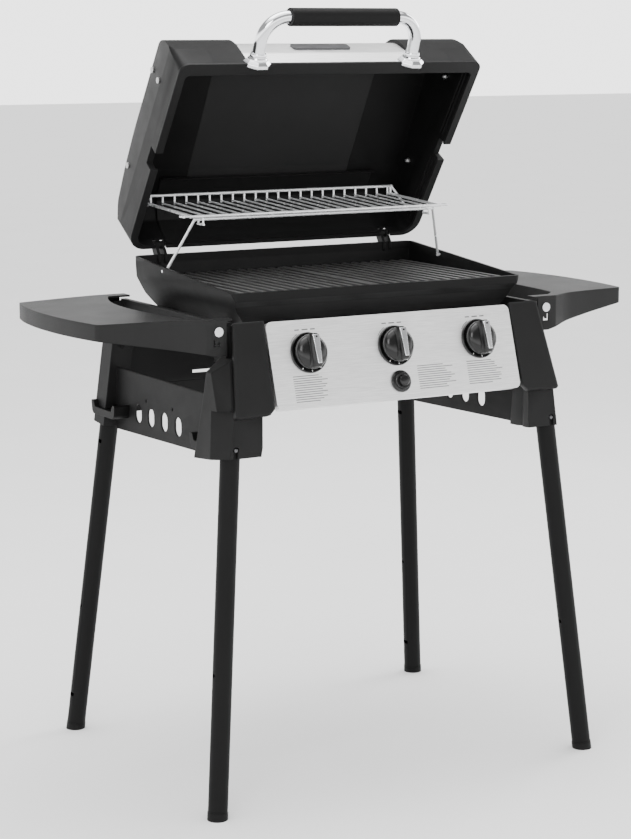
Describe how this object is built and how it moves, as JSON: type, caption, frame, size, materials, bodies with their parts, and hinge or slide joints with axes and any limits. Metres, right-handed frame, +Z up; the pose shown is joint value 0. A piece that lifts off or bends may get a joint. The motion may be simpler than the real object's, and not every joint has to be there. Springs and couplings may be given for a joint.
{
  "type": "portable gas charbroiler",
  "caption": "Portable gas charbroiler grill on splayed pull-off legs, with hinged lid, linked warming rack, fold-down side shelves, burner dials and drip tray.",
  "frame": {"origin": "centre of the footprint on the ground", "axes": "+X to the operator's right, -Y toward the operator, +Z up"},
  "size_m": [1.036, 0.5778, 1.2636],
  "materials": {
    "cast_black": "matt black paint on cast aluminium",
    "grate_iron": "matt enamel",
    "burner_steel": "dull",
    "brass": "machined",
    "black_steel": "satin black paint",
    "zinc_steel": "zinc plate",
    "stainless": "brushed",
    "chrome": "polished",
    "black_plastic": "semi-gloss",
    "shelf_plastic": "fine texture",
    "grip_rubber": "matt",
    "tray_steel": "dark enamel",
    "badge": "satin"
  },
  "bodies": {
    "base": {"firebox": "cast_black", "grate_left": "grate_iron", "grate_right": "grate_iron", "heat_tents": "burner_steel", "burners": "burner_steel", "gas_manifold": "burner_steel", "gas_inlet": "brass", "firebox_brackets": "black_steel", "hinge_pins": "zinc_steel", "control_panel": "stainless", "knob_bezels": "black_plastic", "corner_cover_left": "cast_black", "corner_cover_right": "cast_black", "end_frame_left": "cast_black", "end_frame_right": "cast_black", "leg_hooks": "black_steel", "rear_panel": "black_steel", "rear_crossbar": "black_steel", "shelf_studs": "chrome", "tray_rails": "zinc_steel", "igniter_module": "black_plastic"},
    "lid": {"lid_cap_left": "cast_black", "lid_cap_right": "cast_black", "lid_wrap": "stainless", "lid_liner": "cast_black", "lid_lip": "cast_black", "lid_hinge_straps": "cast_black", "lid_bolts": "zinc_steel", "handle_tube": "chrome", "handle_ferrules": "chrome", "handle_grip": "grip_rubber", "badge_plate": "badge"},
    "rack": {"warming_rack": "chrome"},
    "bail": {"rack_bail": "chrome"},
    "shelf_l": {"shelf_left": "shelf_plastic"},
    "shelf_r": {"shelf_right": "shelf_plastic"},
    "tray": {"drip_tray": "tray_steel"},
    "igniter": {"igniter_button": "black_plastic"},
    "valve_left": {"plunger_left": "zinc_steel"},
    "dial_left": {"knob_left": "black_plastic"},
    "valve_centre": {"plunger_centre": "zinc_steel"},
    "dial_centre": {"knob_centre": "black_plastic"},
    "valve_right": {"plunger_right": "zinc_steel"},
    "dial_right": {"knob_right": "black_plastic"},
    "support_front_left": {"leg_front_left": "black_steel", "foot_front_left": "grip_rubber"},
    "support_front_right": {"leg_front_right": "black_steel", "foot_front_right": "grip_rubber"},
    "support_rear_left": {"leg_rear_left": "black_steel", "foot_rear_left": "grip_rubber"},
    "support_rear_right": {"leg_rear_right": "black_steel", "foot_rear_right": "grip_rubber"}
  },
  "joints": [
    {"name": "lid_hinge", "type": "hinge", "parent": "base", "child": "lid", "pos_m": [0, 0.183, 0.864], "axis": [1, 0, 0], "range_deg": [0, 61.1]},
    {"name": "rack_swing", "type": "hinge", "parent": "lid", "child": "rack", "pos_m": [0, 0.172, 0.913], "axis": [1, 0, 0], "range_deg": [-64.5, 0]},
    {"name": "bail_swing", "type": "hinge", "parent": "base", "child": "bail", "pos_m": [0, 0.064, 0.833], "axis": [1, 0, 0], "range_deg": [0, 27.5]},
    {"name": "left_shelf_fold", "type": "hinge", "parent": "base", "child": "shelf_l", "pos_m": [-0.313, 0, 0.765], "axis": [0, -1, 0], "range_deg": [0, 50]},
    {"name": "right_shelf_fold", "type": "hinge", "parent": "base", "child": "shelf_r", "pos_m": [0.313, 0, 0.765], "axis": [0, 1, 0], "range_deg": [0, 50]},
    {"name": "tray_slide", "type": "slide", "parent": "base", "child": "tray", "axis": [-1, 0, 0], "range_m": [0, 0.22]},
    {"name": "igniter_push", "type": "slide", "parent": "base", "child": "igniter", "axis": [0, 0.9553, -0.2957], "range_m": [0, 0.004], "stiffness_N_per_m": 600, "springref_m": -0.003},
    {"name": "left_valve_push", "type": "slide", "parent": "base", "child": "valve_left", "axis": [0, 0.9553, -0.2957], "range_m": [0, 0.003], "stiffness_N_per_m": 900, "springref_m": -0.003},
    {"name": "left_dial_turn", "type": "hinge", "parent": "valve_left", "child": "dial_left", "pos_m": [-0.1623, -0.2232, 0.724], "axis": [0, -0.9553, 0.2957], "range_deg": [0, 120]},
    {"name": "centre_valve_push", "type": "slide", "parent": "base", "child": "valve_centre", "axis": [0, 0.9553, -0.2957], "range_m": [0, 0.003], "stiffness_N_per_m": 900, "springref_m": -0.003},
    {"name": "centre_dial_turn", "type": "hinge", "parent": "valve_centre", "child": "dial_centre", "pos_m": [0, -0.2232, 0.724], "axis": [0, -0.9553, 0.2957], "range_deg": [0, 120]},
    {"name": "right_valve_push", "type": "slide", "parent": "base", "child": "valve_right", "axis": [0, 0.9553, -0.2957], "range_m": [0, 0.003], "stiffness_N_per_m": 900, "springref_m": -0.003},
    {"name": "right_dial_turn", "type": "hinge", "parent": "valve_right", "child": "dial_right", "pos_m": [0.1623, -0.2232, 0.724], "axis": [0, -0.9553, 0.2957], "range_deg": [0, 120]},
    {"name": "front_left_leg_pull", "type": "slide", "parent": "base", "child": "support_front_left", "axis": [-0.0932, -0.0892, -0.9916], "range_m": [0, 0.15]},
    {"name": "front_right_leg_pull", "type": "slide", "parent": "base", "child": "support_front_right", "axis": [0.0932, -0.0892, -0.9916], "range_m": [0, 0.15]},
    {"name": "rear_left_leg_pull", "type": "slide", "parent": "base", "child": "support_rear_left", "axis": [-0.0932, 0.0892, -0.9916], "range_m": [0, 0.15]},
    {"name": "rear_right_leg_pull", "type": "slide", "parent": "base", "child": "support_rear_right", "axis": [0.0932, 0.0892, -0.9916], "range_m": [0, 0.15]}
  ],
  "couplings": [
    {"joint": "rack_swing", "follows": "lid_hinge", "ratio": -1.05},
    {"joint": "bail_swing", "follows": "lid_hinge", "ratio": 0.447}
  ]
}
